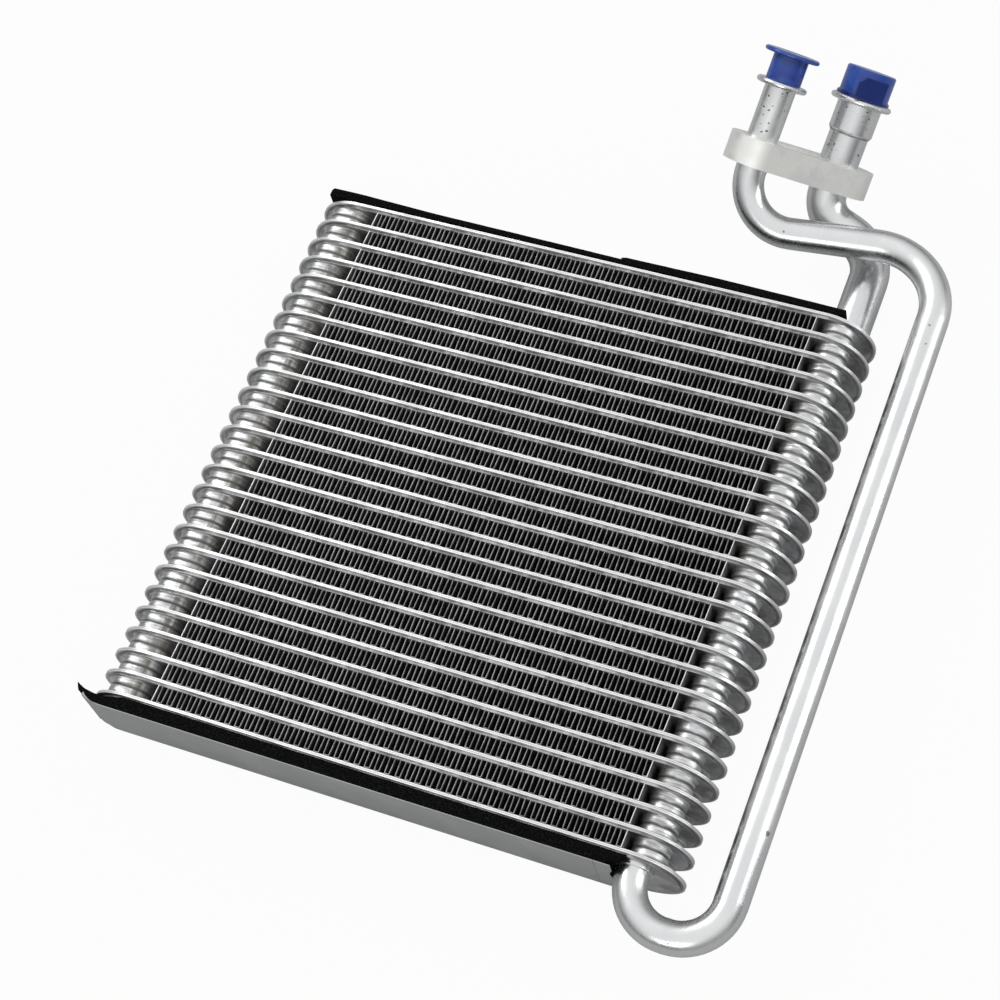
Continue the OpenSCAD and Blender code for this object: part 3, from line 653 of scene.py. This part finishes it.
class EVAPORATOR_OT_block(bpy.types.Operator):
    """Give the joint block its sawn and rubbed aluminium"""
    bl_idname = "evaporator.block"
    bl_label = "Finish Joint Block"

    def execute(self, context):
        colours = context.scene.evaporator_colours
        finish, w = new_finish("Sawn Aluminium")
        haze = w.group("Haze", Scale=90.0, From=0.38, To=0.66)["Mask"]
        fine = w.group("Haze", Scale=900.0, From=0.3, To=0.75)["Mask"]
        lines = w.group("Draw Lines", Across_X=160.0, Across_Y=1500.0, Across_Z=1500.0)["Height"]
        nicks = w.group("Specks", Scale=230.0, Size=0.09, Share=0.2)["Mask"]
        colour = w.blend(w.math("MULTIPLY", haze, 0.7), colours.block, colours.block_worn)
        colour = w.blend(w.math("MULTIPLY", nicks, 0.55), colour, colours.pipe_pit)
        rough = w.ramp(w.math("ADD", w.math("MULTIPLY", fine, 0.4), w.math("MULTIPLY", haze, 0.6)),
                       0.0, 1.0, 0.5, 0.34)
        relief = raised(w, lines, 0.04 * MM, 0.5)
        relief = raised(w, fine, 0.03 * MM, 0.4, relief)
        close_finish(w, Base_Color=colour, Metallic=0.85, Roughness=rough, Normal=relief)
        assign(finish, "joint_block")
        return {"FINISHED"}


class EVAPORATOR_OT_caps(bpy.types.Operator):
    """Give the shipping caps their translucent blue plastic"""
    bl_idname = "evaporator.caps"
    bl_label = "Finish Shipping Caps"

    def execute(self, context):
        sizes, colours = context.scene.evaporator_sizes, context.scene.evaporator_colours
        finish, w = new_finish("Blue Cap Plastic")
        spot = w.place()[0]
        thin = w.group("Haze", Scale=120.0, From=0.46, To=0.6)["Mask"]
        fine = w.group("Haze", Scale=800.0, From=0.3, To=0.7)["Mask"]
        # Height along the pipe ends, and distance from the middle of the suction cap
        from_middle = w.add("ShaderNodeVectorMath", {"operation": "SUBTRACT"}, {
            0: spot, 1: tuple(SUCTION_MIDDLE)}).outputs[0]
        rise = w.add("ShaderNodeVectorMath", {"operation": "DOT_PRODUCT"}, {
            0: from_middle, 1: tuple(END_DIR)}).outputs["Value"]
        far = w.add("ShaderNodeVectorMath", {"operation": "LENGTH"}, {0: from_middle}).outputs["Value"]
        out = w.math("SQRT", w.math("SUBTRACT", w.math("MULTIPLY", far, far), w.math("MULTIPLY", rise, rise)))
        thick = w.math("MULTIPLY", w.ramp(out, sizes.cap_r + 0.02 * MM, sizes.cap_r + 0.2 * MM),
                       w.ramp(out, 14 * MM, 15 * MM, 1.0, 0.0))
        # Painted light: from 30 to 35 mm along the pipe end outward the cap turns paler blue
        low_wall = w.ramp(rise, 30 * MM, 35 * MM, 0.0, 1.0)
        colour = w.blend(w.math("MULTIPLY", thin, 0.5), colours.cap, colours.cap_thin)
        colour = w.blend(w.math("MULTIPLY", low_wall, 0.35), colour, colours.cap_thin)
        colour = w.blend(w.math("MULTIPLY", thick, 0.8), colour, colours.cap_thick)
        rough = w.ramp(fine, 0.0, 1.0, 0.14, 0.26)
        relief = raised(w, fine, 0.02 * MM, 0.4)
        close_finish(w, Base_Color=colour, Roughness=rough, Normal=relief, Transmission_Weight=0.15, IOR=1.48)
        assign(finish, "liquid_cap", "suction_cap")
        return {"FINISHED"}


# ---------------------------------------------------------------- soft pieces

def foam_finish(context):
    """Black open-cell foam, made once."""
    if "Seal Foam" in bpy.data.materials:
        return bpy.data.materials["Seal Foam"]
    sizes, colours = context.scene.evaporator_sizes, context.scene.evaporator_colours
    finish, w = new_finish("Seal Foam")
    cells = w.group("Foam Cells", Scale=1 / sizes.foam_cell)
    haze = w.group("Haze", Scale=220.0, From=0.35, To=0.7)["Mask"]
    walls = w.math("MULTIPLY", cells["Walls"], w.math("ADD", w.math("MULTIPLY", haze, 0.6), 0.3))
    colour = w.blend(walls, colours.foam, colours.foam_wall)
    rough = w.ramp(haze, 0.0, 1.0, 0.85, 1.0)
    relief = raised(w, cells["Height"], 0.35 * MM, 0.8)
    close_finish(w, Base_Color=colour, Roughness=rough, Normal=relief, Specular_IOR_Level=0.06)
    return finish


class EVAPORATOR_OT_top_foam(bpy.types.Operator):
    """Model the two foam strips on the top plate"""
    bl_idname = "evaporator.top_foam"
    bl_label = "Model Top Foam Strips"

    def execute(self, context):
        sizes = context.scene.evaporator_sizes
        play, step = sizes.foam_play, sizes.foam_step
        finish = foam_finish(context)

        # The left strip is thickest near its left end, thins out, and laps under the right one
        low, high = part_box("top_foam_left")
        left = new_bar("foam_top_left", low + Vector((play, 0, play)), high - Vector((-TOP_LAP, play, play)))
        knee = high.x - TOP_TAPER
        x_cuts = [low.x + play + 0.8 * MM, *spread(low.x, knee, step), knee, *spread(knee, high.x, step)]
        slice_at(left, 0, x_cuts)
        slice_at(left, 2, spread(low.z, high.z, step))
        stations = [low.x + play, *x_cuts, high.x + TOP_LAP]
        top = line_through([(low.x + play, high.y - 1.5 * MM), (low.x + play + 0.8 * MM, high.y - play),
                            (low.x + 14 * MM, high.y - play), (low.x + 45 * MM, low.y + 2.9 * MM),
                            (knee, low.y + 2.3 * MM), (high.x, low.y + 2.1 * MM)])
        follow(left, stations, lambda x: low.y, top, low.y, high.y - play)
        finish_foam(left, "top_foam_left", finish, sizes)

        # The right strip is thicker and starts with a blunt rounded step
        low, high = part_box("top_foam_right")
        right = new_bar("foam_top_right", low + Vector((0, 0, play)), high - Vector((play, play, play)))
        x_cuts = [low.x + 0.7 * MM, low.x + 2.1 * MM, *spread(low.x + 2.1 * MM, high.x - 0.5 * MM, step),
                  high.x - 0.5 * MM]
        slice_at(right, 0, x_cuts)
        slice_at(right, 2, spread(low.z, high.z, step))
        stations = [low.x, *x_cuts, high.x - play]
        top = line_through([(low.x, low.y + 2.6 * MM), (low.x + 0.7 * MM, low.y + 2.9 * MM),
                            (low.x + 2.1 * MM, low.y + 3.2 * MM), (low.x + 40 * MM, low.y + 3.5 * MM),
                            (high.x - 0.5 * MM, low.y + 2.7 * MM), (high.x - play, low.y + 2.3 * MM)])
        follow(right, stations, lambda x: low.y, top, low.y, high.y - play)
        finish_foam(right, "top_foam_right", finish, sizes)
        return {"FINISHED"}


# Curled end of the bottom strip: shares of its length, and of the thickness above and below the plate
CURL_TOP = ((0, 0.14), (0.08, -0.02), (0.2, -0.2), (0.42, -0.33), (0.66, -0.3), (0.86, -0.14), (1, 0))
CURL_UNDER = ((0, 0.1), (0.02, -0.14), (0.05, -0.3), (0.09, -0.44), (0.14, -0.58), (0.2, -0.7), (0.27, -0.81),
              (0.35, -0.89), (0.45, -0.95), (0.56, -0.985), (0.68, -1))


class EVAPORATOR_OT_bottom_foam(bpy.types.Operator):
    """Model the foam strip under the bottom plate, with its curled end and the room for the pipe"""
    bl_idname = "evaporator.bottom_foam"
    bl_label = "Model Bottom Foam Strip"

    def execute(self, context):
        sizes = context.scene.evaporator_sizes
        play, step = sizes.foam_play, sizes.foam_step
        low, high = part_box("bottom_foam")
        thick = UNDER_Y - low.y
        bar = new_bar("foam_bottom", (low.x + play, low.y + play, low.z + play),
                      (high.x - play, UNDER_Y, high.z - play))
        # Round back corner under the left plate tips
        bevel_where(bar, lambda mid, way: abs(way.y) > 0.9 and mid.x < low.x + 1 * MM and mid.z < low.z + 1 * MM,
                    FOAM_CORNER, CORNER_SEGMENTS)
        shares = sorted({s for s, _ in CURL_TOP + CURL_UNDER} - {0})
        x_cuts = [low.x + s * CURL_LEN for s in shares]
        film_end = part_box("bottom_foam_film")[1].x
        taper_from = film_end - END_TAPER
        end_cuts = [taper_from, film_end, high.x - thick / 2, high.x - thick / 6]
        slice_at(bar, 0, [*x_cuts, *spread(low.x + CURL_LEN, taper_from, step), *end_cuts])
        slice_at(bar, 2, spread(low.z, high.z, step))
        only(bar)
        places = sorted({round(v.co.x, 7) for v in bar.data.vertices})
        top = line_through([(low.x + s * CURL_LEN, UNDER_Y + t * thick) for s, t in CURL_TOP])
        under_points = [(low.x + s * CURL_LEN, UNDER_Y + t * thick) for s, t in CURL_UNDER]
        under_points[0] = (low.x, UNDER_Y + 0.02 * thick)
        under = line_through([*under_points, (taper_from, low.y), (film_end, low.y + thick * 0.4),
                              (high.x - thick / 2, low.y + thick * 0.55),
                              (high.x - thick / 6, low.y + thick * 0.72), (high.x, low.y + thick * 0.88)])
        follow(bar, places, lambda x: under(x) + play, top, low.y + play, UNDER_Y)
        finish_foam(bar, "bottom_foam", foam_finish(context), sizes, room=True)
        return {"FINISHED"}


class EVAPORATOR_OT_film(bpy.types.Operator):
    """Model the thin film on the outer face of the bottom strip"""
    bl_idname = "evaporator.film"
    bl_label = "Model Bottom Film"

    def execute(self, context):
        sizes, colours = context.scene.evaporator_sizes, context.scene.evaporator_colours
        finish, w = new_finish("Grey Film")
        haze = w.group("Haze", Scale=70.0, From=0.4, To=0.7)["Mask"]
        fine = w.group("Haze", Scale=1500.0, From=0.3, To=0.7)["Mask"]
        lines = w.group("Draw Lines", Across_X=40.0, Across_Y=800.0, Across_Z=1400.0)["Height"]
        colour = w.blend(w.math("MULTIPLY", haze, 0.6), colours.film, colours.film_rub)
        across = w.math("SUBTRACT", w.place()[1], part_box("bottom_foam_film")[1].x - sizes.film_cut)
        cut = w.ramp(w.math("ABSOLUTE", across), 0.06 * MM, 0.22 * MM, 1.0, 0.0)
        colour = w.blend(w.math("MULTIPLY", cut, 0.5), colour, colours.foam)
        rough = w.ramp(w.math("ADD", w.math("MULTIPLY", haze, 0.5), w.math("MULTIPLY", lines, 0.5)),
                       0.1, 0.9, 0.42, 0.6)
        relief = raised(w, w.math("ADD", lines, fine), 0.02 * MM, 0.4)
        close_finish(w, Base_Color=colour, Roughness=rough, Normal=relief)

        # The film lies on the strip's underside, from its flat face up the curled end
        low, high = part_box("bottom_foam_film")
        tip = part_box("bottom_foam")[0]
        thick = UNDER_Y - tip.y
        glued = [Vector((tip.x + s * CURL_LEN, UNDER_Y + t * thick)) for s, t in CURL_UNDER[5:]]
        ends = [glued[0], *glued, glued[-1] + Vector((1, 0))]
        outer = []
        for before, here, after in zip(ends, glued, ends[2:]):
            along = (after - before).normalized()
            outer.append(here + (tip.y - low.y) * Vector((along.y, -along.x)))
        film = new_bar("film_bottom", (outer[0].x, low.y, low.z), (high.x, tip.y, high.z))
        bevel_where(film, lambda mid, way: abs(way.y) > 0.9 and mid.x < tip.x + 1 * MM and mid.z < low.z + 1 * MM,
                    FILM_CORNER, CORNER_SEGMENTS)
        places = sorted({p.x for p in glued[:-1] + outer[1:]})
        slice_at(film, 0, [*places, glued[-1].x, *spread(glued[-1].x, high.x, 12 * MM)])
        only(film)
        stations = sorted({round(v.co.x, 7) for v in film.data.vertices})
        upper = line_through([(outer[0].x, outer[0].y + sizes.film_bend), *[tuple(p) for p in glued]])
        lower = line_through([tuple(p) for p in outer])
        follow(film, stations, lower, upper, low.y, tip.y)
        cut_root_room(film, sizes)
        add_modifier(film, "BEVEL", width=sizes.film_bend, segments=2, limit_method="ANGLE",
                     angle_limit=math.radians(40))
        only(film)
        bpy.ops.object.shade_smooth_by_angle(angle=SMOOTH_ANGLE)
        film.data.materials.append(finish)
        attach(film, "root")
        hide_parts("bottom_foam_film")
        return {"FINISHED"}


# ---------------------------------------------------------------- studio

class EVAPORATOR_OT_studio(bpy.types.Operator):
    """Set up the pale floor, the white surroundings, three soft lamps and the camera"""
    bl_idname = "evaporator.studio"
    bl_label = "Set Up Studio"

    def execute(self, context):
        sizes, colours = context.scene.evaporator_sizes, context.scene.evaporator_colours
        scene = context.scene
        settle()
        bpy.ops.mesh.primitive_plane_add(size=sizes.floor_side, location=(0, 0, -0.05 * MM))
        floor = bpy.context.object
        floor.name = "studio_floor"
        bpy.ops.object.transform_apply(location=True, rotation=True, scale=True)
        paint, w = new_finish("Floor Paint")
        seen = w.add("ShaderNodeLightPath").outputs
        shown = w.math("MAXIMUM", seen["Is Camera Ray"], seen["Is Transmission Ray"])
        share = w.math("MAXIMUM", w.math("MULTIPLY", shown, 0.96), w.math("MULTIPLY", seen["Is Glossy Ray"], 0.06))
        matt = w.add("ShaderNodeBsdfDiffuse", None, {"Color": colours.floor}).outputs[0]
        glow = w.add("ShaderNodeEmission", None, {"Color": (1, 1, 1, 1), "Strength": 1.0}).outputs[0]
        mixed = w.add("ShaderNodeMixShader", None, {0: share, 1: matt, 2: glow})
        w.add("ShaderNodeOutputMaterial", None, {"Surface": mixed.outputs[0]})
        floor.data.materials.append(paint)

        world = bpy.data.worlds.new("White Surroundings")
        scene.world = world
        world.use_nodes = True
        w = Wiring(world.node_tree)
        seen = w.add("ShaderNodeLightPath").outputs
        shown = w.math("MAXIMUM", seen["Is Camera Ray"], seen["Is Transmission Ray"])
        share = w.math("MAXIMUM", shown, w.math("MULTIPLY", seen["Is Glossy Ray"], 0.06))
        # The soft light is strong overhead and weak near the floor
        way = w.add("ShaderNodeTexCoord").outputs["Generated"]
        rise = w.add("ShaderNodeSeparateXYZ", None, {0: way}).outputs[2]
        level = w.ramp(rise, 0.05, 0.95, sizes.low_light, sizes.high_light)
        soft = w.add("ShaderNodeBackground", None, {"Color": (1, 1, 1, 1), "Strength": level}).outputs[0]
        white = w.add("ShaderNodeBackground", None, {"Color": (1, 1, 1, 1), "Strength": 1.0}).outputs[0]
        mixed = w.add("ShaderNodeMixShader", None, {0: share, 1: soft, 2: white})
        w.add("ShaderNodeOutputWorld", None, {"Surface": mixed.outputs[0]})

        centre = Vector((PLATE_MID_X, STACK_MID_Y, FRONT_Z))
        # Name, direction from the core, distance, width, height and power of each lamp
        lamps = (
            ("lamp_left", (-0.62, 0.36, 0.69), 1.5, 0.9, 0.6, 7.5),
            ("lamp_right", (0.86, 0.36, 0.36), 1.5, 0.4, 1.0, 4.6),
            ("lamp_front", (0.1, -0.85, 0.5), 1.7, 0.9, 0.5, 4.5),
        )
        for name, way, far, wide, tall, power in lamps:
            settle()
            spot = centre + Vector(way).normalized() * far
            turn = (spot - centre).to_track_quat("Z", "Y").to_euler()
            bpy.ops.object.light_add(type="AREA", location=spot, rotation=turn)
            lamp = bpy.context.object
            lamp.name = name
            lamp.data.shape = "RECTANGLE"
            lamp.data.size, lamp.data.size_y = wide, tall
            lamp.data.energy = power

        eye = Vector((PLATE_MID_X + 0.27544, STACK_MID_Y - 0.34601, BACK_Z + 0.83179))
        turn = [math.radians(a) for a in (27.701, 9.041, 21.024)]
        bpy.ops.object.camera_add(location=eye, rotation=turn)
        camera = bpy.context.object
        camera.name = "photo_camera"
        camera.data.lens = sizes.lens
        camera.data.sensor_width = 36
        camera.data.clip_start, camera.data.clip_end = 0.05, 40
        scene.camera = camera
        scene.view_settings.view_transform = "Standard"
        return {"FINISHED"}


class EVAPORATOR_PT_pieces(bpy.types.Panel):
    """Lists the pieces of the evaporator core in the sidebar"""
    bl_label = "Evaporator Core"
    bl_space_type = "VIEW_3D"
    bl_region_type = "UI"
    bl_category = "Evaporator"

    def draw(self, context):
        for step in STEPS:
            self.layout.operator(step.bl_idname)
        for group in (context.scene.evaporator_sizes, context.scene.evaporator_colours):
            box = self.layout.box()
            for key in group.bl_rna.properties.keys():
                if key not in ("rna_type", "name"):
                    box.prop(group, key)


STEPS = (EVAPORATOR_OT_tubes, EVAPORATOR_OT_fins, EVAPORATOR_OT_pipes, EVAPORATOR_OT_block, EVAPORATOR_OT_caps,
         EVAPORATOR_OT_top_foam, EVAPORATOR_OT_bottom_foam, EVAPORATOR_OT_film, EVAPORATOR_OT_studio)
CLASSES = (EvaporatorSizes, EvaporatorColours, *STEPS, EVAPORATOR_PT_pieces)


def register():
    for kind in CLASSES:
        bpy.utils.register_class(kind)
    bpy.types.Scene.evaporator_sizes = PointerProperty(type=EvaporatorSizes)
    bpy.types.Scene.evaporator_colours = PointerProperty(type=EvaporatorColours)


def unregister():
    del bpy.types.Scene.evaporator_colours
    del bpy.types.Scene.evaporator_sizes
    for kind in reversed(CLASSES):
        bpy.utils.unregister_class(kind)


def main():
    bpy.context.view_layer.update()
    register()
    build_shared_effects()
    bpy.ops.evaporator.tubes()
    bpy.ops.evaporator.fins()
    bpy.ops.evaporator.pipes()
    bpy.ops.evaporator.block()
    bpy.ops.evaporator.caps()
    bpy.ops.evaporator.top_foam()
    bpy.ops.evaporator.bottom_foam()
    bpy.ops.evaporator.film()
    bpy.ops.evaporator.studio()


if __name__ == "__main__":
    main()
